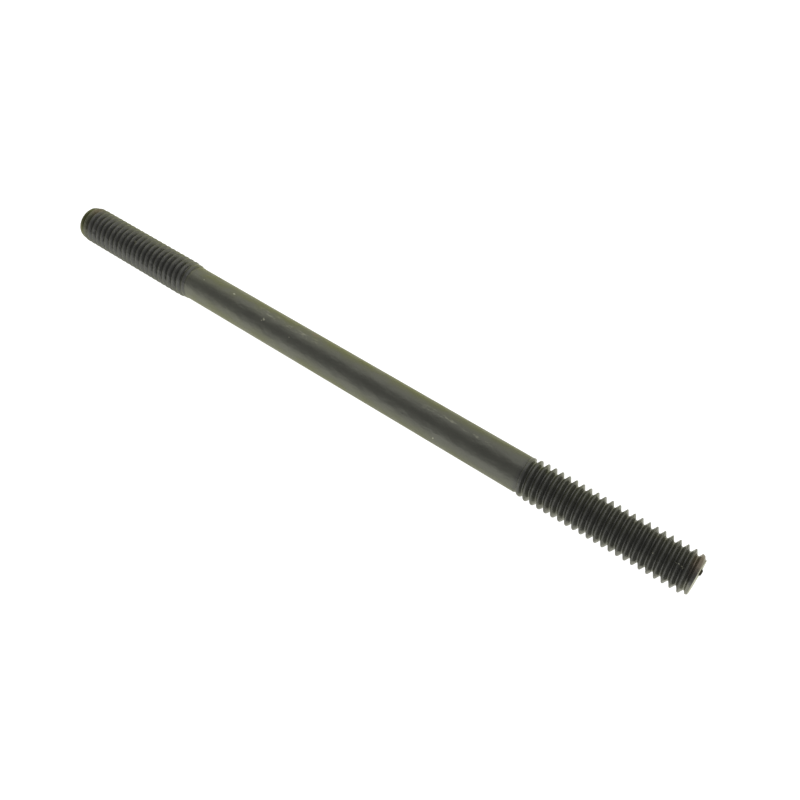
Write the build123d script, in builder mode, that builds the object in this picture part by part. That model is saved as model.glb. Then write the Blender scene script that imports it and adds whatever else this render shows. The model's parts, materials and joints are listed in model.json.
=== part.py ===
from build123d import *
import math
import os

# A double ended stud: one round steel bar with a rolled screw thread on each end.
# It lies along X with the nearer, pipped end at +X, and rests on z = 0 on its thread crests.

# Driving dimensions, in millimetres and degrees
length_over_faces = 149.2
shank_diameter = 7.12
thread_pitch = 25.4 / 18
near_thread_length = 33.7
far_thread_length = 33.6

# Each end is turned down to a flat face, so a nut starts easily
end_chamfer_length = 1.4
near_chamfer_depth = 0.53
far_chamfer_depth = 0.3

# The threads fade into the shank: the crests sink and the grooves rise, in turns of the thread
crest_fade_turns = 1.8
groove_fade_turns = 1.0

# Where the crest of each thread meets the plane of its end face, in degrees from straight up
near_thread_angle = 145.0
far_thread_angle = 330.0

# The low pip left where the bar was parted off, beside the middle of the near face.
# Its angle is from straight up, positive towards -Y.
pip_diameter = 1.35
pip_height = 0.36
pip_rim_radius = 0.15
pip_offset = 0.85
pip_angle = -56.0

# Rolling presses the grooves into the bar and raises the crests above it, by this share of the whole
thread_height_per_pitch = 0.61343
raised_share = 0.45
thread_height = thread_height_per_pitch * thread_pitch
shank_radius = shank_diameter / 2
crest_radius = shank_radius + thread_height * raised_share
root_radius = crest_radius - thread_height

# The turned outline stands this far outside the crests, where it cuts nothing
outline_clearance = 0.3
outline_radius = crest_radius + outline_clearance

overall_length = length_over_faces + pip_height
far_face_x = -overall_length / 2
near_face_x = far_face_x + length_over_faces


def helical_faces(first_turn, turns):
    """The two flanks of a V thread round Z, one pair of ruled faces for each turn."""
    faces = []
    for turn in range(first_turn, first_turn + turns):
        z = turn * thread_pitch
        lower_root = Helix(thread_pitch, thread_pitch, root_radius, center=(0, 0, z - thread_pitch / 2))
        crest = Helix(thread_pitch, thread_pitch, crest_radius, center=(0, 0, z))
        upper_root = Helix(thread_pitch, thread_pitch, root_radius, center=(0, 0, z + thread_pitch / 2))
        faces.append(Face.make_surface_from_curves(lower_root.edge(), crest.edge()))
        faces.append(Face.make_surface_from_curves(crest.edge(), upper_root.edge()))
    return faces


def turn_end_faces(turn):
    """The ramp and the flat section that close the threaded bar where a turn begins."""
    z = turn * thread_pitch
    low_z, high_z = z - thread_pitch / 2, z + thread_pitch / 2
    root = Helix(thread_pitch, thread_pitch, root_radius, center=(0, 0, low_z))
    spine = Edge.make_line((0, 0, low_z), (0, 0, high_z))
    section = Wire.make_polygon(
        [
            (0, 0, low_z),
            (root_radius, 0, low_z),
            (crest_radius, 0, z),
            (root_radius, 0, high_z),
            (0, 0, high_z),
        ]
    )
    return [Face.make_surface_from_curves(spine, root.edge()), Face(section)]


def threaded_bar(length):
    """A bar threaded all along, reaching from a turn above z = 0 to two turns below -length."""
    first_turn = -math.ceil(length / thread_pitch) - 2
    faces = helical_faces(first_turn, 1 - first_turn)
    return Solid(Shell(faces + turn_end_faces(first_turn) + turn_end_faces(1)))


def threaded_end(length, crest_angle, chamfer_depth):
    """One threaded end of the stud, with its face at z = 0 and its run-out at -length."""
    end_face_radius = crest_radius - chamfer_depth
    chamfer_slope = end_chamfer_length / chamfer_depth
    fade_slope = crest_fade_turns * thread_pitch / (crest_radius - shank_radius)
    chamfer_z = -(outline_radius - end_face_radius) * chamfer_slope
    fade_top_z = -length + (outline_radius - shank_radius) * fade_slope
    fade_foot_z = -length - (shank_radius - root_radius) * fade_slope
    bar = threaded_bar(length)
    with BuildPart() as end:
        with Locations(Rotation(0, 0, crest_angle)):
            add(bar)
        with BuildSketch(Plane.XZ):
            with BuildLine():
                Polyline(
                    (0, 0),
                    (end_face_radius, 0),
                    (outline_radius, chamfer_z),
                    (outline_radius, fade_top_z),
                    (root_radius, fade_foot_z),
                    (0, fade_foot_z),
                    close=True,
                )
            make_face()
        revolve(axis=Axis.Z, mode=Mode.INTERSECT)
    return end.part


near_end = threaded_end(near_thread_length, near_thread_angle, near_chamfer_depth)
far_end = threaded_end(far_thread_length, far_thread_angle, far_chamfer_depth)

# The end planes look outward, with their X upward, and the bar's axis is a crest above the floor
near_plane = Plane(origin=(near_face_x, 0, crest_radius), x_dir=(0, 0, 1), z_dir=(1, 0, 0))
far_plane = Plane(origin=(far_face_x, 0, crest_radius), x_dir=(0, 0, 1), z_dir=(-1, 0, 0))

# The plain shank, and the cone at each end of it that the grooves rise on. Each cone goes on as far
# again below the grooves, so that its foot lies inside the threaded bar.
cone_length = 2 * groove_fade_turns * thread_pitch
cone_foot_radius = shank_radius - 2 * (shank_radius - root_radius)
shank_start_x = far_face_x + far_thread_length
shank_stop_x = near_face_x - near_thread_length
shank_plane = Plane(origin=(0, 0, crest_radius), x_dir=(1, 0, 0), z_dir=(0, -1, 0))

with BuildPart() as stud:
    with BuildSketch(shank_plane):
        with BuildLine():
            Polyline(
                (shank_start_x - cone_length, 0),
                (shank_start_x - cone_length, cone_foot_radius),
                (shank_start_x, shank_radius),
                (shank_stop_x, shank_radius),
                (shank_stop_x + cone_length, cone_foot_radius),
                (shank_stop_x + cone_length, 0),
                close=True,
            )
        make_face()
    revolve(axis=Axis((0, 0, crest_radius), (1, 0, 0)))
    with Locations(near_plane):
        add(near_end)
    with Locations(far_plane):
        add(far_end)

    # The pip is sunk into the bar by its own height, and its rim is worn round
    with BuildSketch(near_plane.offset(-pip_height)):
        with PolarLocations(pip_offset, 1, start_angle=pip_angle):
            Circle(pip_diameter / 2)
    extrude(amount=2 * pip_height)
    fillet(stud.edges().group_by(Axis.X)[-1], pip_rim_radius)

stud.part.label = "stud"
os.makedirs("parts", exist_ok=True)
export_step(stud.part, "parts/stud.step")
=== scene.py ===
"""A double ended stud with a black oxide finish, and the small pale studio that it lies in.

Lengths are in metres, but the shader node groups and the marks that they place work in millimetres.
The stud lies along X, and a place on it is given by its distance along the bar from the middle, and
by its angle round the bar from the top, positive towards -Y.
"""

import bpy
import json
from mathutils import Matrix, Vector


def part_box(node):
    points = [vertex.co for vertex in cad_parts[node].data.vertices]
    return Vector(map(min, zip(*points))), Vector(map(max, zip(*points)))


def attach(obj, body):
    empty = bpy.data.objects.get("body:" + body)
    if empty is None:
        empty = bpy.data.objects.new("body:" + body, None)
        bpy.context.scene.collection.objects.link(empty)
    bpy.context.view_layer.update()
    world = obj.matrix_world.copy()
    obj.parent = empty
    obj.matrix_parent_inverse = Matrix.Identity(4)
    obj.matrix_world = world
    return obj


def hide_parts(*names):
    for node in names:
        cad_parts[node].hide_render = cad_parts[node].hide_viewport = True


bl_info = {
    "name": "Double Ended Stud",
    "version": (1, 0, 0),
    "blender": (4, 5, 0),
    "location": "View3D > Sidebar > Stud",
    "description": "Makes a double ended stud with rolled threads and a black oxide finish",
    "category": "Add Mesh",
}

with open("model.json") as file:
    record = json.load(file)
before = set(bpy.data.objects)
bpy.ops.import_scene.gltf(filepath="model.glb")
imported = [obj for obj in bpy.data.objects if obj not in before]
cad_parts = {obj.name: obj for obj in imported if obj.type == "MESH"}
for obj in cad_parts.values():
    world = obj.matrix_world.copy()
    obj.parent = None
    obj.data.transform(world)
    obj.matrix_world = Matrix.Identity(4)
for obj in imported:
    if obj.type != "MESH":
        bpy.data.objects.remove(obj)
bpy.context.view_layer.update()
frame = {"record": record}

import json
import math

import bmesh
import bpy
import numpy as np
from bpy.props import FloatProperty, FloatVectorProperty, PointerProperty
from bpy.types import Operator, Panel, PropertyGroup
from mathutils import Vector

MM = 0.001
FULL_TURN = 2 * math.pi

# What the frame says of the stud
STUD_LOW, STUD_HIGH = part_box("stud")
MOUNTS = {mount["name"]: mount for mount in frame["record"]["mounts"]}
NEAR_FACE_X = MOUNTS["near_thread"]["pos_m"][0]
FAR_FACE_X = MOUNTS["far_thread"]["pos_m"][0]
NEAR_THREAD_LENGTH = MOUNTS["near_thread"]["dims"]["length_mm"] * MM
FAR_THREAD_LENGTH = MOUNTS["far_thread"]["dims"]["length_mm"] * MM
CREST_RADIUS = (STUD_HIGH.z - STUD_LOW.z) / 2
AXIS_HEIGHT = (STUD_HIGH.z + STUD_LOW.z) / 2
PIP_HEIGHT = STUD_HIGH.x - NEAR_FACE_X

# How finely the surface is divided: columns round the bar, and rows across half a thread, as
# shares of the pitch from its crest to its groove
COLUMNS = 72
HALF_THREAD_ROWS = (0.0, 0.035, 0.07, 0.105, 0.15, 0.22, 0.29, 0.35, 0.39, 0.43, 0.465)
THREAD_ROWS = HALF_THREAD_ROWS + (0.5,) + tuple(1 - share for share in reversed(HALF_THREAD_ROWS[1:]))
SHANK_ROW_SPACING = 2.0 * MM
FACE_RINGS = 34
RIM_MERGE_DISTANCE = 0.005 * MM
FACE_MARGIN = 0.01 * MM
CUT_TOLERANCE = 1e-9
SHARP_ANGLE = math.radians(50)

# The threaded skin goes on for this many turns past the run-out, and meets the shank's skin there
TURNS_PAST_RUN_OUT = 0.5

# The flanks of a 60 degree thread rise this much for each unit along the bar, and half the flat
# crest between them is this share of the pitch
FLANK_SLOPE = math.tan(math.radians(60))
CREST_HALF_WIDTH = 1 / 16

# A blow has flattened the far thread here: how far along, at what angle, how wide and how deep
NICK_ALONG = -58.5 * MM
NICK_ANGLE = math.radians(18.4)
NICK_WIDTH = 0.55 * MM
NICK_DEPTH = 0.3 * MM

# The pip is flat on top and rises from the face in a soft shoulder. A higher power makes its top
# flatter, and a higher softness its foot wider.
PIP_FLATNESS_POWER = 6
PIP_SHOULDER_SOFTNESS = 1.5


class StudSizes(PropertyGroup):
    """The sizes of the stud that the frame doesn't give."""

    thread_pitch: FloatProperty(
        name="Thread Pitch", description="Distance from one crest to the next",
        default=25.4 * MM / 18, min=0.2 * MM, unit="LENGTH")
    thread_depth: FloatProperty(
        name="Thread Depth", description="Height of the crests over the grooves",
        default=0.61343 * 25.4 * MM / 18, min=0.1 * MM, unit="LENGTH")
    crest_round: FloatProperty(
        name="Crest Rounding", description="How far the corners of the crests are rounded",
        default=0.12 * MM, min=0.01 * MM, unit="LENGTH")
    groove_round: FloatProperty(
        name="Groove Rounding", description="How far the corners of the grooves are rounded",
        default=0.1 * MM, min=0.01 * MM, unit="LENGTH")
    edge_round: FloatProperty(
        name="Edge Rounding", description="How far the edges at a thread's two ends are rounded",
        default=0.09 * MM, min=0.01 * MM, unit="LENGTH")
    shank_diameter: FloatProperty(
        name="Shank Diameter", description="Diameter of the plain shank",
        default=7.12 * MM, min=1 * MM, unit="LENGTH")
    chamfer_length: FloatProperty(
        name="End Chamfer Length", description="Length of the cone at each end",
        default=1.4 * MM, min=0.1 * MM, unit="LENGTH")
    near_chamfer_depth: FloatProperty(
        name="Near Chamfer Depth", description="How far the near cone takes the radius down",
        default=0.53 * MM, min=0.1 * MM, unit="LENGTH")
    far_chamfer_depth: FloatProperty(
        name="Far Chamfer Depth", description="How far the far cone takes the radius down",
        default=0.3 * MM, min=0.1 * MM, unit="LENGTH")
    rim_round: FloatProperty(
        name="End Rim Rounding", description="Radius of the worn rim round each end face",
        default=0.1 * MM, min=0.01 * MM, unit="LENGTH")
    crest_fade: FloatProperty(
        name="Crest Fade", description="Turns of thread over which the crests sink into the shank",
        default=1.8, min=0.1)
    near_groove_fade: FloatProperty(
        name="Near Groove Fade", description="Turns over which the near grooves rise to the shank",
        default=0.9, min=0.1)
    far_groove_fade: FloatProperty(
        name="Far Groove Fade", description="Turns over which the far grooves rise to the shank",
        default=2.2, min=0.1)
    near_crest_angle: FloatProperty(
        name="Near Crest Angle", description="Where the crest meets the near end face",
        default=math.radians(145), unit="ROTATION")
    far_crest_angle: FloatProperty(
        name="Far Crest Angle", description="Where the crest meets the far end face",
        default=math.radians(330), unit="ROTATION")
    pip_diameter: FloatProperty(
        name="Pip Diameter", description="Width of the pip left where the bar was parted off",
        default=1.35 * MM, min=0.1 * MM, unit="LENGTH")
    pip_offset: FloatProperty(
        name="Pip Offset", description="Distance from the bar's axis to the middle of the pip",
        default=0.85 * MM, min=0.0, unit="LENGTH")
    pip_angle: FloatProperty(
        name="Pip Angle", description="Angle of the pip round the near end face",
        default=math.radians(-56), unit="ROTATION")


class StudFinish(PropertyGroup):
    """The colours of the black oxide finish, of what shows through it, and of the painted sheen, highlight
    and shade on it.
    """

    shank_colour: FloatVectorProperty(
        name="Shank Colour", description="Oxide on the drawn shank",
        default=(0.15, 0.152, 0.13), size=3, min=0, max=1, subtype="COLOR")
    thread_colour: FloatVectorProperty(
        name="Thread Colour", description="Oxide on the rolled threads",
        default=(0.112, 0.112, 0.107), size=3, min=0, max=1, subtype="COLOR")
    # Painted sheen: the olive stands for the shine at edges turned from the eye, and for a dried oil film
    olive_film_and_sheen_colour: FloatVectorProperty(
        name="Olive Colour", description="Dried oil over the oxide",
        default=(0.17, 0.177, 0.085), size=3, min=0, max=1, subtype="COLOR")
    near_end_darkening: FloatProperty(
        name="Near End Darkening", description="How much darker the oxide is at the near end",
        default=0.2, min=0, max=1)
    edge_tint: FloatVectorProperty(
        name="Edge Tint", description="Tint of the shine where the surface turns away from the eye",
        default=(0.8, 0.8, 0.62), size=3, min=0, max=1, subtype="COLOR")
    copper_colour: FloatVectorProperty(
        name="Copper Colour", description="Thin brown oxide near the ends",
        default=(0.2, 0.15, 0.105), size=3, min=0, max=1, subtype="COLOR")
    # Also painted as a highlight on the near chamfer
    bare_steel_and_highlight_colour: FloatVectorProperty(
        name="Bare Steel Colour", description="Steel that shows where the oxide is rubbed through",
        default=(0.5, 0.5, 0.38), size=3, min=0, max=1, subtype="COLOR")
    # Dark colour of the pip, also painted as shade round the pip's foot
    pip_and_shade_colour: FloatVectorProperty(
        name="Pip Colour", description="Dark oxide on the parting pip",
        default=(0.04, 0.038, 0.022), size=3, min=0, max=1, subtype="COLOR")


class StudioLayout(PropertyGroup):
    """Where the camera stands and how bright the studio is."""

    camera_place: FloatVectorProperty(
        name="Camera Place", description="Where the camera stands",
        default=(81.25 * MM, -88.9 * MM, 136.9 * MM), size=3, subtype="TRANSLATION", unit="LENGTH")
    camera_aim: FloatVectorProperty(
        name="Camera Aim", description="The direction in which the camera looks",
        default=(-0.393, 0.513, -0.763), size=3, subtype="DIRECTION")
    camera_lens: FloatProperty(
        name="Camera Lens", description="Focal length of the lens, in millimetres",
        default=41.2, min=1)
    floor_width: FloatProperty(
        name="Floor Width", description="Width of the pale floor",
        default=4.0, min=0.5, unit="LENGTH")
    floor_glow: FloatProperty(
        name="Floor Glow", description="Light that the pale floor gives off by itself",
        default=1.15, min=0)


def smooth_min(first, second, reach):
    """The lower of two heights, with the corner between them rounded over reach."""
    share = np.clip(0.5 + 0.5 * (second - first) / reach, 0.0, 1.0)
    return second + (first - second) * share - reach * share * (1 - share)


def smooth_max(first, second, reach):
    """The higher of two heights, with the corner between them rounded over reach."""
    return -smooth_min(-first, -second, reach)


def bar_point(along, angle, radius):
    """The point at an angle round the bar and a radius from its axis."""
    return Vector((along, -radius * math.sin(angle), AXIS_HEIGHT + radius * math.cos(angle)))


def angle_of(point):
    """The angle of a point round the bar, from 0 to a full turn."""
    return math.atan2(-point.y, point.z - AXIS_HEIGHT) % FULL_TURN


class ThreadedEnd:
    """One threaded end: where it starts, which way it points and where its crests lie."""

    def __init__(self, sizes, face_x, outward, length, crest_x, chamfer_depth, groove_fade):
        self.sizes = sizes
        self.face_x = face_x
        self.outward = outward
        self.length = length
        self.crest_x = crest_x
        self.chamfer_depth = chamfer_depth
        self.groove_fade = groove_fade
        self.join_x = face_x - outward * (length + TURNS_PAST_RUN_OUT * sizes.thread_pitch)

    def radius(self, x, turns):
        """The radius of the skin at x, where turns says how far the thread is from a crest."""
        sizes = self.sizes
        shank = sizes.shank_diameter / 2
        root = CREST_RADIUS - sizes.thread_depth
        inward = (self.face_x - x) * self.outward
        from_crest = np.abs(turns - np.round(turns))
        flank = CREST_RADIUS + (CREST_HALF_WIDTH - from_crest) * sizes.thread_pitch * FLANK_SLOPE
        raised = smooth_min(flank, CREST_RADIUS, sizes.crest_round)
        thread = smooth_max(raised, root, sizes.groove_round)
        slope = self.chamfer_depth / sizes.chamfer_length
        rim = np.clip(1 - inward / sizes.rim_round, 0, 1)
        cone = CREST_RADIUS - self.chamfer_depth + slope * inward
        cone = cone - sizes.rim_round * (1 - np.sqrt(1 - rim ** 2))
        outline = smooth_min(thread, cone, sizes.edge_round)
        crest_slope = (CREST_RADIUS - shank) / (sizes.crest_fade * sizes.thread_pitch)
        crest_line = shank + (self.length - inward) * crest_slope
        outline = smooth_min(outline, crest_line, sizes.edge_round)
        groove_slope = (shank - root) / (self.groove_fade * sizes.thread_pitch)
        groove_line = np.minimum(shank, shank + (inward - self.length) * groove_slope)
        outline = smooth_max(outline, groove_line, sizes.edge_round / 2)
        return np.where(inward > self.length, shank, outline)


def nicked(radius, x, angle):
    """The radius with the blow on the far thread taken off its crests."""
    across = (angle - NICK_ANGLE + math.pi) % FULL_TURN - math.pi
    distance = np.sqrt((x - NICK_ALONG) ** 2 + (CREST_RADIUS * across) ** 2)
    return radius - NICK_DEPTH * np.exp(-(distance / NICK_WIDTH) ** 2)


def thread_skin(work, end):
    """Makes the skin of one threaded end, with rows that follow the thread, cut square at both ends."""
    pitch = end.sizes.thread_pitch
    low_x, high_x = sorted((end.face_x, end.join_x))
    first = math.floor((low_x - end.crest_x) / pitch) - 2
    last = math.ceil((high_x - end.crest_x) / pitch) + 1
    turns = np.array([turn + share for turn in range(first, last) for share in THREAD_ROWS])
    turns = turns[:, None] + np.zeros(COLUMNS)
    angles = np.arange(COLUMNS) * FULL_TURN / COLUMNS
    x = end.crest_x + pitch * (turns + angles / FULL_TURN)
    radii = nicked(end.radius(x, turns), x, angles)
    rows = [
        [work.verts.new(bar_point(x[i, j], angles[j], radii[i, j])) for j in range(COLUMNS)]
        for i in range(len(turns))
    ]
    per_turn = len(THREAD_ROWS)
    for i in range(len(rows) - 1 - per_turn):
        for j in range(COLUMNS):
            here, there = (rows[i], rows[i + 1])
            if j + 1 < COLUMNS:
                work.faces.new((here[j], here[j + 1], there[j + 1], there[j]))
            else:
                work.faces.new((here[j], rows[i + per_turn][0], rows[i + per_turn + 1][0], there[j]))
    for cut_x, outward in ((low_x, -1), (high_x, 1)):
        bmesh.ops.bisect_plane(
            work, geom=work.verts[:] + work.edges[:] + work.faces[:], dist=CUT_TOLERANCE,
            plane_co=(cut_x, 0, 0), plane_no=(outward, 0, 0), clear_outer=True)
    loose = [vert for vert in work.verts if not vert.link_faces]
    bmesh.ops.delete(work, geom=loose, context="VERTS")
    rim = [vert for vert in work.verts if vert.is_boundary]
    bmesh.ops.remove_doubles(work, verts=rim, dist=RIM_MERGE_DISTANCE)


def open_rim(work, x):
    """The open rim of the skin at x, in the order of its angle."""
    rim = [vert for vert in work.verts if vert.is_boundary and abs(vert.co.x - x) < RIM_MERGE_DISTANCE]
    return sorted(rim, key=lambda vert: angle_of(vert.co))


def stitch(work, first, second):
    """Fills the band between two closed rings, whose points may differ in number."""
    first_turns = [angle_of(vert.co) for vert in first]
    second_turns = [angle_of(vert.co) for vert in second]
    first_turns.append(first_turns[0] + FULL_TURN)
    second_turns.append(second_turns[0] + FULL_TURN)
    i = j = 0
    while i < len(first) or j < len(second):
        take_first = j == len(second) or (i < len(first) and first_turns[i + 1] <= second_turns[j + 1])
        if take_first:
            work.faces.new((first[i], first[(i + 1) % len(first)], second[j % len(second)]))
            i += 1
        else:
            work.faces.new((first[i % len(first)], second[(j + 1) % len(second)], second[j]))
            j += 1


def ring(work, points):
    """A ring of new vertices."""
    return [work.verts.new(point) for point in points]


def shank_skin(work, sizes, low_x, high_x):
    """The plain shank between the two threads, stitched to their rims."""
    low_rim, high_rim = open_rim(work, low_x), open_rim(work, high_x)
    angles = [j * FULL_TURN / COLUMNS for j in range(COLUMNS)]
    spans = round((high_x - low_x) / SHANK_ROW_SPACING)
    rows = [
        ring(work, [bar_point(x, angle, sizes.shank_diameter / 2) for angle in angles])
        for x in np.linspace(low_x, high_x, spans + 1)[1:-1]
    ]
    stitch(work, low_rim, rows[0])
    for here, there in zip(rows, rows[1:]):
        for j in range(COLUMNS):
            k = (j + 1) % COLUMNS
            work.faces.new((here[j], here[k], there[k], there[j]))
    stitch(work, rows[-1], high_rim)


def face_height(sizes, end, across, up):
    """How far an end face stands out at a place from the axis: the near one carries the pip."""
    if end.outward < 0:
        return 0.0
    pip_across = -sizes.pip_offset * math.sin(sizes.pip_angle)
    pip_up = sizes.pip_offset * math.cos(sizes.pip_angle)
    reach = math.hypot(across - pip_across, up - pip_up) / (sizes.pip_diameter / 2)
    if reach >= 1:
        return 0.0
    return PIP_HEIGHT * (1 - reach ** PIP_FLATNESS_POWER) ** PIP_SHOULDER_SOFTNESS


def end_face_skin(work, sizes, end):
    """The flat end face, as rings from its rim to its middle."""
    rim = open_rim(work, end.face_x)
    angles = [j * FULL_TURN / COLUMNS for j in range(COLUMNS)]
    outer = CREST_RADIUS - sizes.thread_depth - FACE_MARGIN
    outer_ring = None
    for step in range(FACE_RINGS, 0, -1):
        radius = outer * step / FACE_RINGS
        points = []
        for angle in angles:
            flat = bar_point(end.face_x, angle, radius)
            height = face_height(sizes, end, flat.y, flat.z - AXIS_HEIGHT)
            points.append(flat + Vector((end.outward * height, 0, 0)))
        inner_ring = ring(work, points)
        if outer_ring is None:
            stitch(work, rim, inner_ring)
        else:
            for j in range(COLUMNS):
                k = (j + 1) % COLUMNS
                work.faces.new((outer_ring[j], outer_ring[k], inner_ring[k], inner_ring[j]))
        outer_ring = inner_ring
    middle_height = face_height(sizes, end, 0.0, 0.0)
    middle = work.verts.new((end.face_x + end.outward * middle_height, 0, AXIS_HEIGHT))
    for j in range(COLUMNS):
        work.faces.new((outer_ring[j], outer_ring[(j + 1) % COLUMNS], middle))


def stud_ends(sizes):
    """The near and the far threaded end."""
    pitch = sizes.thread_pitch
    near_crest_x = NEAR_FACE_X - pitch * sizes.near_crest_angle / FULL_TURN
    far_crest_x = FAR_FACE_X + pitch * sizes.far_crest_angle / FULL_TURN
    near = ThreadedEnd(
        sizes, NEAR_FACE_X, 1, NEAR_THREAD_LENGTH, near_crest_x,
        sizes.near_chamfer_depth, sizes.near_groove_fade)
    far = ThreadedEnd(
        sizes, FAR_FACE_X, -1, FAR_THREAD_LENGTH, far_crest_x,
        sizes.far_chamfer_depth, sizes.far_groove_fade)
    return near, far


def stud_mesh(near, far):
    """The stud's closed skin: two threads, the shank between them and the two end faces."""
    mesh = bpy.data.meshes.new("stud_skin")
    work = bmesh.new()
    for end in (near, far):
        part = bmesh.new()
        thread_skin(part, end)
        part.to_mesh(mesh)
        part.free()
        work.from_mesh(mesh)
    shank_skin(work, near.sizes, far.join_x, near.join_x)
    for end in (near, far):
        end_face_skin(work, end.sizes, end)
    bmesh.ops.recalc_face_normals(work, faces=work.faces)
    for face in work.faces:
        face.smooth = True
        middle_x = face.calc_center_median().x
        beyond_bar = middle_x > NEAR_FACE_X - FACE_MARGIN or middle_x < FAR_FACE_X + FACE_MARGIN
        face.material_index = int(beyond_bar)
    work.to_mesh(mesh)
    work.free()
    mesh.set_sharp_from_angle(angle=SHARP_ANGLE)
    return mesh


# How much each finer octave of a noise adds
NOISE_ROUGHNESS = 0.55


class Bench:
    """Lays nodes in a tree, and joins them as they are laid."""

    def __init__(self, tree):
        self.tree = tree
        self.nodes = tree.nodes

    def add(self, kind, settings=None, **inputs):
        """A new node with its settings made and its inputs joined or given a value."""
        node = self.nodes.new(kind)
        for name, value in (settings or {}).items():
            setattr(node, name, value)
        for name, value in inputs.items():
            self.feed(node.inputs[name.replace("_", " ")], value)
        return node

    def feed(self, socket, value):
        """Joins a socket to another one, or sets its value."""
        if isinstance(value, bpy.types.NodeSocket):
            self.tree.links.new(value, socket)
        else:
            socket.default_value = value

    def math(self, operation, *values):
        """The result of a sum on one or two values."""
        node = self.add("ShaderNodeMath", {"operation": operation})
        for socket, value in zip(node.inputs, values):
            self.feed(socket, value)
        return node.outputs[0]

    def hypotenuse(self, first, second):
        """The straight distance over two distances at right angles."""
        first_square = self.math("MULTIPLY", first, first)
        second_square = self.math("MULTIPLY", second, second)
        return self.math("SQRT", self.math("ADD", first_square, second_square))

    def vector(self, operation, first, second, output="Vector"):
        """The result of a sum on two vectors."""
        node = self.add("ShaderNodeVectorMath", {"operation": operation})
        self.feed(node.inputs[0], first)
        self.feed(node.inputs[1], second)
        return node.outputs[output]

    def place(self):
        """Where a point lies in the object's own space, in metres."""
        return self.add("ShaderNodeTexCoord").outputs["Object"]

    def spread(self, value, low, high, to_low=0.0, to_high=1.0):
        """A value spread smoothly from one range over another."""
        node = self.add(
            "ShaderNodeMapRange", {"interpolation_type": "SMOOTHSTEP"},
            Value=value, From_Min=low, From_Max=high, To_Min=to_low, To_Max=to_high)
        return node.outputs["Result"]

    def mix(self, share, first, second):
        """Two colours mixed."""
        node = self.add("ShaderNodeMixRGB", None, Fac=share, Color1=first, Color2=second)
        return node.outputs["Color"]

    def noise(self, vector, scale, detail):
        """A noise value at a place."""
        node = self.add(
            "ShaderNodeTexNoise", None,
            Vector=vector, Scale=scale, Detail=detail, Roughness=NOISE_ROUGHNESS)
        return node.outputs["Fac"]

    def group(self, name, **inputs):
        """A group placed with its own values."""
        return self.add("ShaderNodeGroup", {"node_tree": bpy.data.node_groups[name]}, **inputs)


def new_group(name, inputs, outputs):
    """A shader node group with float inputs and float outputs."""
    tree = bpy.data.node_groups.new(name, "ShaderNodeTree")
    for socket_name, value in inputs:
        socket = tree.interface.new_socket(name=socket_name, in_out="INPUT", socket_type="NodeSocketFloat")
        socket.default_value = value
    for socket_name in outputs:
        tree.interface.new_socket(name=socket_name, in_out="OUTPUT", socket_type="NodeSocketFloat")
    bench = Bench(tree)
    source = bench.add("NodeGroupInput")
    target = bench.add("NodeGroupOutput")
    return bench, source, target


# How fine the oxide's grain, the ragged edges of chips and the streaks of rubs are, to a millimetre.
# Streaks are drawn out along the bar, so they have a count for each of X, Y and Z.
GRAINS_PER_MM = 6
RAGGED_TEETH_PER_MM = 5
STREAKS_PER_MM = (0.7, 2.4, 2.4)

# How deep the teeth of a spot's ragged edge are, and where the edge starts and ends, as shares of
# the spot's length and width
RAGGED_TOOTH = 0.9
SPOT_EDGE = (0.75, 1.35)

# Where a patch of rubs fades out along the bar and round it, as shares of its half length and half
# width, and which part of the noise makes streaks in it
RUB_END_FADE = (0.5, 1.0)
RUB_SIDE_FADE = (0.2, 1.2)
STREAK_NOISE = (0.48, 0.68)

# The part of the noise that makes the oxide's clouds
CLOUD_NOISE = (0.3, 0.7)


def make_bar_place_group():
    """Where a point lies on the bar: millimetres along it, degrees round it, millimetres out."""
    bench, source, target = new_group("Bar Place", (("Axis Height", 0.0),), ("Along", "Around", "Out"))
    parts = bench.add("ShaderNodeSeparateXYZ", None, Vector=bench.place())
    up = bench.math("SUBTRACT", parts.outputs["Z"], source.outputs["Axis Height"])
    across = bench.math("MULTIPLY", parts.outputs["Y"], -1.0)
    around = bench.math("DEGREES", bench.math("ARCTAN2", across, up))
    bench.feed(target.inputs["Along"], bench.math("MULTIPLY", parts.outputs["X"], 1 / MM))
    bench.feed(target.inputs["Around"], around)
    bench.feed(target.inputs["Out"], bench.math("MULTIPLY", bench.hypotenuse(across, up), 1 / MM))


def make_oxide_cloud_group():
    """Uneven oxide: broad clouds drawn out along the bar, and a fine grain."""
    inputs = (("Cloud Size", 4.0), ("Draw", 3.0))
    bench, source, target = new_group("Oxide Cloud", inputs, ("Cloud", "Grain"))
    place = bench.place()
    stretch = bench.add("ShaderNodeCombineXYZ", None, Y=1 / MM, Z=1 / MM)
    bench.feed(stretch.inputs["X"], bench.math("DIVIDE", 1 / MM, source.outputs["Draw"]))
    drawn = bench.vector("MULTIPLY", place, stretch.outputs["Vector"])
    scale = bench.math("DIVIDE", 1.0, source.outputs["Cloud Size"])
    cloud = bench.noise(drawn, scale, detail=4.0)
    grain = bench.noise(place, GRAINS_PER_MM / MM, detail=2.0)
    bench.feed(target.inputs["Cloud"], bench.spread(cloud, *CLOUD_NOISE))
    bench.feed(target.inputs["Grain"], grain)


def offset_from_mark(bench, source):
    """How far a point lies from a mark's middle, as shares of the mark's length and width."""
    here = bench.group("Bar Place", Axis_Height=source.outputs["Axis Height"])
    along = bench.math("SUBTRACT", here.outputs["Along"], source.outputs["Along"])
    turned = bench.math("SUBTRACT", here.outputs["Around"], source.outputs["Around"])
    around = bench.math("MULTIPLY", bench.math("RADIANS", turned), here.outputs["Out"])
    along = bench.math("DIVIDE", along, source.outputs["Length"])
    around = bench.math("DIVIDE", around, source.outputs["Width"])
    return along, around


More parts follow.
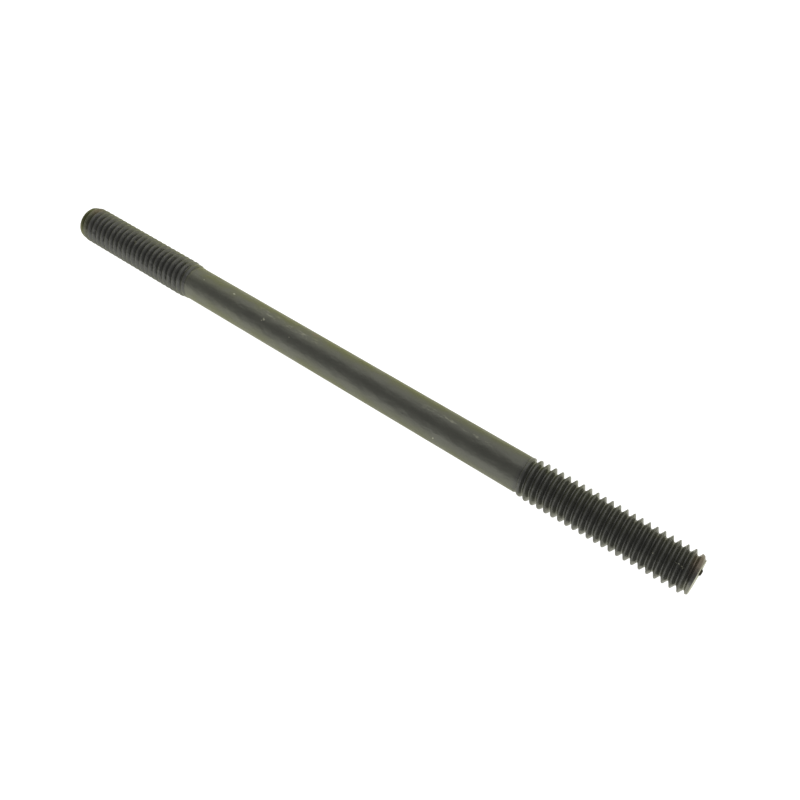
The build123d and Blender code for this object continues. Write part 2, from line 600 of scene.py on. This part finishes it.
def make_spot_group():
    """A small chip or patch with a ragged edge, at one place on the bar."""
    inputs = (("Along", 0.0), ("Around", 0.0), ("Length", 0.5), ("Width", 0.5), ("Axis Height", 0.0))
    bench, source, target = new_group("Spot", inputs, ("Mask",))
    along, around = offset_from_mark(bench, source)
    teeth = bench.noise(bench.place(), RAGGED_TEETH_PER_MM / MM, detail=3.0)
    reach = bench.math("ADD", bench.hypotenuse(along, around), bench.math("MULTIPLY", teeth, RAGGED_TOOTH))
    bench.feed(target.inputs["Mask"], bench.spread(reach, *SPOT_EDGE, 1.0, 0.0))


def make_rub_group():
    """Pale rubs and scratches, drawn out along the bar, inside one long patch of it."""
    inputs = (("Along", 0.0), ("Around", 0.0), ("Length", 8.0), ("Width", 0.6), ("Axis Height", 0.0))
    bench, source, target = new_group("Rub Marks", inputs, ("Mask",))
    along, around = offset_from_mark(bench, source)
    near_along = bench.spread(bench.math("ABSOLUTE", along), *RUB_END_FADE, 1.0, 0.0)
    near_around = bench.spread(bench.math("ABSOLUTE", around), *RUB_SIDE_FADE, 1.0, 0.0)
    drawn = bench.vector("MULTIPLY", bench.place(), tuple(count / MM for count in STREAKS_PER_MM))
    streaks = bench.spread(bench.noise(drawn, 1.0, detail=4.0), *STREAK_NOISE)
    patch = bench.math("MULTIPLY", near_along, near_around)
    bench.feed(target.inputs["Mask"], bench.math("MULTIPLY", patch, streaks))


def make_thread_share_group():
    """How far a place lies inside a thread: 0 on the plain shank, 1 past the thread's run-out."""
    inputs = (("Near Start", 41.0), ("Far Start", -41.0), ("Fade", 2.0))
    bench, source, target = new_group("Thread Share", inputs, ("Share",))
    along = bench.group("Bar Place").outputs["Along"]
    near_start, far_start = source.outputs["Near Start"], source.outputs["Far Start"]
    near_full = bench.math("ADD", near_start, source.outputs["Fade"])
    far_full = bench.math("SUBTRACT", far_start, source.outputs["Fade"])
    near = bench.spread(along, near_start, near_full)
    far = bench.spread(along, far_start, far_full)
    bench.feed(target.inputs["Share"], bench.math("MAXIMUM", near, far))


GROUP_MAKERS = (
    make_bar_place_group,
    make_oxide_cloud_group,
    make_spot_group,
    make_rub_group,
    make_thread_share_group,
)

# Chips in the oxide: millimetres along, degrees round, length and width in millimetres
CHIPS = (
    (-58.5, 13.0, 0.6, 0.45),
    (-37.8, 10.2, 0.2, 0.13),
    (-29.8, -1.0, 0.34, 0.22),
    (-20.1, 25.4, 0.3, 0.26),
    (-20.3, 22.0, 0.16, 0.2),
    (-20.5, 31.0, 0.22, 0.14),
    (-13.0, 33.3, 0.16, 0.14),
    (23.4, 80.8, 0.16, 0.24),
    (66.9, 39.0, 0.1, 0.14),
    (70.7, 30.5, 0.24, 0.1),
    (71.2, 29.5, 0.24, 0.1),
    (71.7, 31.0, 0.24, 0.12),
    (72.0, 34.5, 0.14, 0.2),
)

# Rubbed patches on the shank: millimetres along, degrees round, half length and half width
RUBS = (
    (-20.5, -1.5, 4.0, 0.8),
    (-11.5, 1.0, 6.0, 0.7),
    (22.5, 4.0, 5.0, 0.6),
    (31.0, 6.0, 4.0, 0.4),
)

# Where the oxide is thin and brown: millimetres along, degrees round, length and width in millimetres
BROWN_PATCHES = (
    (-9.0, -24.8, 1.6, 0.7),
    (73.8, -20.0, 1.8, 5.0),
    (-73.0, -20.0, 1.6, 2.4),
)

# A painted highlight on the near chamfer, as a pale patch of steel colour, in the same four sizes
CHAMFER_HIGHLIGHT_PATCHES = (
    (73.8, 88.0, 1.2, 2.4),
)


def new_material(name):
    """An empty node material with one shader."""
    material = bpy.data.materials.new(name)
    material.use_nodes = True
    bench = Bench(material.node_tree)
    shader = next(node for node in bench.nodes if node.type == "BSDF_PRINCIPLED")
    return material, bench, shader


# Fine rings that the parting tool left on the end faces
TOOL_MARKS_PER_MM = 6.7
TOOL_MARK_DEPTH = 0.001 * MM

# The oxide's shine: its clouds make the shank more or less rough, and the threads are even. Its
# relief is of clouds with a little of the fine grain.
SHANK_ROUGHNESS = (0.36, 0.44)
THREAD_ROUGHNESS = 0.3
SHANK_METALLIC = 0.75
THREAD_METALLIC = 0.5
OXIDE_RELIEF = 0.07 * MM
GRAIN_SHARE = 0.04

# How much of the olive shows on the oxide, partly as a dried oil film and partly as painted sheen where
# the surface turns edge on to the eye: where its clouds are thinnest at the far end and from the far
# run-out on, at the near end, on the front of the bar, and on the bar's last few millimetres by the far
# face
THIN_OIL_AT_FAR_END = 0.9
THIN_OIL_AT_RUN_OUT = 0.3
OIL_AND_SHEEN_AT_NEAR_END = 0.25
OIL_AND_SHEEN_IN_FRONT = 0.5
OIL_ON_FAR_END = 0.9
OILY_END_LENGTH = 3 * MM

# The olive's painted sheen begins to show and shows in full at these turns away from the eye, 0 facing
# it and 1 edge on
SHEEN_TURN = (0.1, 0.6)

# How strongly brown places, rubbed places and the painted highlight on the near chamfer show, where a chip
# shows in full
BROWN_STRENGTH = 0.5
RUB_STRENGTH = 0.3
CHAMFER_HIGHLIGHT_STRENGTH = 0.25

# The end faces' shine, how much of the shank's oxide clouds them, and how far the painted shade round the
# pip reaches, in radii of the pip
FACE_ROUGHNESS = 0.55
FACE_METALLIC = 0.4
FACE_SPECULAR_LEVEL = 0.2
FACE_CLOUD_SHARE = 0.4
PIP_SHADE_REACH = 1.8

# The run-outs change from shank to thread over this many millimetres
THREAD_BLEND_LENGTH = 1.5

BLACK = (0.0, 0.0, 0.0, 1.0)


def colour(values):
    """Three colour values with a full alpha."""
    return (*values, 1.0)


def patches(bench, kind, places):
    """The masks of several patches of one kind, as one."""
    mask = 0.0
    for along, around, length, width in places:
        patch = bench.group(
            kind, Along=along, Around=around, Length=length, Width=width, Axis_Height=AXIS_HEIGHT)
        mask = bench.math("MAXIMUM", mask, patch.outputs["Mask"])
    return mask


def bump(bench, shader, height, distance):
    """Fine relief on the surface, as deep as distance."""
    node = bench.add("ShaderNodeBump", None, Strength=1.0, Distance=distance, Height=height)
    bench.feed(shader.inputs["Normal"], node.outputs["Normal"])


def oil_film_and_sheen_share(bench, parts, cloud, near, far):
    """How much olive shows: painted sheen, most where the surface turns away from the eye, over clouds of
    dried oil, and an oil film at the far face.
    """
    turned_away = bench.add("ShaderNodeLayerWeight", None, Blend=0.5).outputs["Facing"]
    thinnest = bench.spread(parts["X"], far.face_x, far.join_x, THIN_OIL_AT_FAR_END, THIN_OIL_AT_RUN_OUT)
    film = bench.spread(cloud, 0.0, 1.0, thinnest, 1.0)
    # Painted sheen: the olive shows where the surface turns edge on to the eye, over the oil's clouds
    oil_and_sheen = bench.math("MULTIPLY", bench.spread(turned_away, *SHEEN_TURN), film)
    oil_and_sheen = bench.math("MULTIPLY", oil_and_sheen, bench.spread(parts["X"], 0.0, near.face_x, 1.0, OIL_AND_SHEEN_AT_NEAR_END))
    oil_and_sheen = bench.math("MULTIPLY", oil_and_sheen, bench.spread(parts["Y"], -CREST_RADIUS, 0.0, OIL_AND_SHEEN_IN_FRONT, 1.0))
    oily_end_stop = far.face_x + OILY_END_LENGTH
    oily_end = bench.spread(parts["X"], far.face_x, oily_end_stop, OIL_ON_FAR_END, 0.0)
    return bench.math("MAXIMUM", oil_and_sheen, oily_end)


def bare_steel_and_highlight_share(bench):
    """Where steel shows through the oxide, in full at a chip and in part where it is rubbed thin, with a
    highlight painted on the near chamfer.
    """
    rubs = bench.math("MULTIPLY", patches(bench, "Rub Marks", RUBS), RUB_STRENGTH)
    # Painted highlight: a pale patch of steel colour on the near chamfer
    chamfer_highlight = bench.math("MULTIPLY", patches(bench, "Spot", CHAMFER_HIGHLIGHT_PATCHES), CHAMFER_HIGHLIGHT_STRENGTH)
    return bench.math("MAXIMUM", rubs, bench.math("MAXIMUM", chamfer_highlight, patches(bench, "Spot", CHIPS)))


def oxide_colour(bench, finish, near, far, on_thread, cloud):
    """The oxide's colour, with its oil film and painted edge sheen, its brown places, the steel that shows
    through and a painted chamfer highlight.
    """
    parts = bench.add("ShaderNodeSeparateXYZ", None, Vector=bench.place()).outputs
    base = bench.mix(on_thread, colour(finish.shank_colour), colour(finish.thread_colour))
    # The olive is an oil film, and painted sheen at the edges turned from the eye
    base = bench.mix(oil_film_and_sheen_share(bench, parts, cloud, near, far), base, colour(finish.olive_film_and_sheen_colour))
    darker = bench.spread(parts["X"], far.face_x, near.face_x, 0.0, finish.near_end_darkening)
    base = bench.mix(darker, base, BLACK)
    brown = bench.math("MULTIPLY", patches(bench, "Spot", BROWN_PATCHES), BROWN_STRENGTH)
    base = bench.mix(brown, base, colour(finish.copper_colour))
    return bench.mix(bare_steel_and_highlight_share(bench), base, colour(finish.bare_steel_and_highlight_colour))


def oxide_material(finish, near, far):
    """Black oxide, satin and oily on the drawn shank, darker and glossier on the rolled threads."""
    material, bench, shader = new_material("Black Oxide")
    on_thread = bench.group(
        "Thread Share", Near_Start=near.join_x / MM, Far_Start=far.join_x / MM,
        Fade=THREAD_BLEND_LENGTH).outputs["Share"]
    oxide = bench.group("Oxide Cloud", Cloud_Size=2.2, Draw=2.0).outputs
    base = oxide_colour(bench, finish, near, far, on_thread, oxide["Cloud"])
    bench.feed(shader.inputs["Base Color"], base)
    shank_rough = bench.spread(oxide["Cloud"], 0.0, 1.0, *SHANK_ROUGHNESS)
    rough = bench.spread(on_thread, 0.0, 1.0, shank_rough, THREAD_ROUGHNESS)
    bench.feed(shader.inputs["Roughness"], rough)
    metallic = bench.spread(on_thread, 0.0, 1.0, SHANK_METALLIC, THREAD_METALLIC)
    bench.feed(shader.inputs["Metallic"], metallic)
    shader.inputs["Specular Tint"].default_value = colour(finish.edge_tint)
    relief = bench.math("ADD", oxide["Cloud"], bench.math("MULTIPLY", oxide["Grain"], GRAIN_SHARE))
    bump(bench, shader, relief, OXIDE_RELIEF)
    return material


def pip_shade(bench, sizes, along):
    """The pip's dark colour, with painted shade that fades round it, on the near end face only."""
    flat = bench.vector("MULTIPLY", bench.place(), (0.0, 1.0, 1.0))
    pip_place = bar_point(0.0, sizes.pip_angle, sizes.pip_offset)
    from_pip = bench.vector("DISTANCE", flat, pip_place, "Value")
    pip_radius = sizes.pip_diameter / 2
    # Painted shade round the pip's foot, fading out beyond the pip
    near_pip = bench.spread(from_pip, pip_radius, PIP_SHADE_REACH * pip_radius, 1.0, 0.0)
    on_near_end = bench.spread(along, 0.0, NEAR_FACE_X / MM)
    return bench.math("MULTIPLY", near_pip, on_near_end)


def face_material(finish, sizes):
    """The parted end faces: bright turned steel, dark on the pip with painted shade round it on the near
    one.
    """
    material, bench, shader = new_material("Parted End Face")
    here = bench.group("Bar Place", Axis_Height=AXIS_HEIGHT).outputs
    cloud = bench.group("Oxide Cloud", Cloud_Size=1.0, Draw=1.0).outputs["Cloud"]
    clouded = bench.math("MULTIPLY", cloud, FACE_CLOUD_SHARE)
    base = bench.mix(clouded, colour(finish.bare_steel_and_highlight_colour), colour(finish.shank_colour))
    # Dark on the pip, with painted shade round it
    base = bench.mix(pip_shade(bench, sizes, here["Along"]), base, colour(finish.pip_and_shade_colour))
    bench.feed(shader.inputs["Base Color"], base)
    shader.inputs["Roughness"].default_value = FACE_ROUGHNESS
    shader.inputs["Metallic"].default_value = FACE_METALLIC
    shader.inputs["Specular IOR Level"].default_value = FACE_SPECULAR_LEVEL
    shader.inputs["Specular Tint"].default_value = colour(finish.edge_tint)
    tool_marks = bench.math("SINE", bench.math("MULTIPLY", here["Out"], TOOL_MARKS_PER_MM * FULL_TURN))
    bump(bench, shader, tool_marks, TOOL_MARK_DEPTH)
    return material


class MESH_OT_stud_add(Operator):
    """Make the double ended stud in place of the plain one."""

    bl_idname = "mesh.double_ended_stud_add"
    bl_label = "Add Double Ended Stud"

    def execute(self, context):
        finish = context.scene.stud_finish
        for make_group in GROUP_MAKERS:
            make_group()
        sizes = context.scene.stud_sizes
        near, far = stud_ends(sizes)
        mesh = stud_mesh(near, far)
        mesh.materials.append(oxide_material(finish, near, far))
        mesh.materials.append(face_material(finish, sizes))
        stud = bpy.data.objects.new("rolled_stud", mesh)
        context.collection.objects.link(stud)
        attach(stud, "root")
        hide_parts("stud")
        return {"FINISHED"}


# The studio walls by their angle over the bar, 0 in front, 0.5 overhead and 1 behind: how bright
# they are, and how much less blue
WALLS = (
    (0.0, 0.75, 0.0),
    (0.12, 0.42, 0.0),
    (0.28, 0.2, 0.0),
    (0.41, 0.24, 0.0),
    (0.52, 0.55, 0.0),
    (0.68, 1.5, 0.03),
    (0.82, 1.1, 0.12),
    (1.0, 0.75, 0.2),
)

FLOOR_GREY = (0.2, 0.2, 0.2, 1.0)
FLOOR_LIGHT = (1.0, 1.0, 1.0, 1.0)
FLOOR_ROUGHNESS = 0.9

# The camera's sensor is measured in millimetres, and it sees nothing nearer than its near limit
SENSOR_WIDTH = 36
CAMERA_NEAR_LIMIT = 10 * MM


def light_studio(scene):
    """Pale walls all round: dim high up in front, and brightest high up behind."""
    world = bpy.data.worlds.new("Studio")
    scene.world = world
    world.use_nodes = True
    bench = Bench(world.node_tree)
    background = next(node for node in bench.nodes if node.type == "BACKGROUND")
    direction = bench.add("ShaderNodeTexCoord").outputs["Generated"]
    parts = bench.add("ShaderNodeSeparateXYZ", None, Vector=direction)
    front = bench.math("MULTIPLY", parts.outputs["Y"], -1.0)
    angle = bench.math("DIVIDE", bench.math("ARCTAN2", parts.outputs["Z"], front), math.pi)
    ramp = bench.add("ShaderNodeValToRGB", None, Fac=angle)
    ramp.color_ramp.interpolation = "B_SPLINE"
    elements = ramp.color_ramp.elements
    for index, (place, bright, warmth) in enumerate(WALLS):
        element = elements[index] if index < 2 else elements.new(place)
        element.position = place
        element.color = (bright, bright, bright * (1 - warmth), 1)
    bench.feed(background.inputs["Color"], ramp.outputs["Color"])


def lay_floor(scene, studio):
    """A wide pale floor that gives off some light."""
    half = studio.floor_width / 2
    corners = [(-half, -half, 0), (half, -half, 0), (half, half, 0), (-half, half, 0)]
    mesh = bpy.data.meshes.new("floor")
    mesh.from_pydata(corners, [], [(0, 1, 2, 3)])
    floor = bpy.data.objects.new("floor", mesh)
    scene.collection.objects.link(floor)
    material, bench, shader = new_material("Pale Floor")
    shader.inputs["Base Color"].default_value = FLOOR_GREY
    shader.inputs["Roughness"].default_value = FLOOR_ROUGHNESS
    shader.inputs["Emission Color"].default_value = FLOOR_LIGHT
    shader.inputs["Emission Strength"].default_value = studio.floor_glow
    mesh.materials.append(material)


def stand_camera(scene, studio):
    """The camera, level and aimed down at the stud."""
    data = bpy.data.cameras.new("camera")
    data.lens = studio.camera_lens
    data.sensor_width = SENSOR_WIDTH
    data.clip_start = CAMERA_NEAR_LIMIT
    camera = bpy.data.objects.new("camera", data)
    camera.location = studio.camera_place
    camera.rotation_mode = "QUATERNION"
    camera.rotation_quaternion = Vector(studio.camera_aim).to_track_quat("-Z", "Y")
    scene.collection.objects.link(camera)
    scene.camera = camera


class SCENE_OT_stud_studio_add(Operator):
    """Make the pale floor, the studio light and the camera."""

    bl_idname = "scene.stud_studio_add"
    bl_label = "Add Studio"

    def execute(self, context):
        scene = context.scene
        studio = scene.stud_studio
        lay_floor(scene, studio)
        light_studio(scene)
        stand_camera(scene, studio)
        scene.view_settings.view_transform = "Standard"
        return {"FINISHED"}


class VIEW3D_PT_double_ended_stud(Panel):
    """Lists the stud, its sizes and its studio."""

    bl_label = "Double Ended Stud"
    bl_space_type = "VIEW_3D"
    bl_region_type = "UI"
    bl_category = "Stud"

    def draw(self, context):
        layout = self.layout
        for operator in (MESH_OT_stud_add, SCENE_OT_stud_studio_add):
            layout.operator(operator.bl_idname)
        for settings in (context.scene.stud_sizes, context.scene.stud_finish, context.scene.stud_studio):
            column = layout.column()
            for name in settings.__annotations__:
                column.prop(settings, name)


CLASSES = (
    StudSizes,
    StudFinish,
    StudioLayout,
    MESH_OT_stud_add,
    SCENE_OT_stud_studio_add,
    VIEW3D_PT_double_ended_stud,
)


def register():
    """Adds the classes, and their settings to the scene."""
    for item in CLASSES:
        bpy.utils.register_class(item)
    bpy.types.Scene.stud_sizes = PointerProperty(type=StudSizes)
    bpy.types.Scene.stud_finish = PointerProperty(type=StudFinish)
    bpy.types.Scene.stud_studio = PointerProperty(type=StudioLayout)


def unregister():
    """Takes the settings and the classes away again."""
    del bpy.types.Scene.stud_studio
    del bpy.types.Scene.stud_finish
    del bpy.types.Scene.stud_sizes
    for item in reversed(CLASSES):
        bpy.utils.unregister_class(item)


def main():
    """Makes the stud and its studio."""
    register()
    bpy.ops.mesh.double_ended_stud_add()
    bpy.ops.scene.stud_studio_add()


if __name__ == "__main__":
    main()
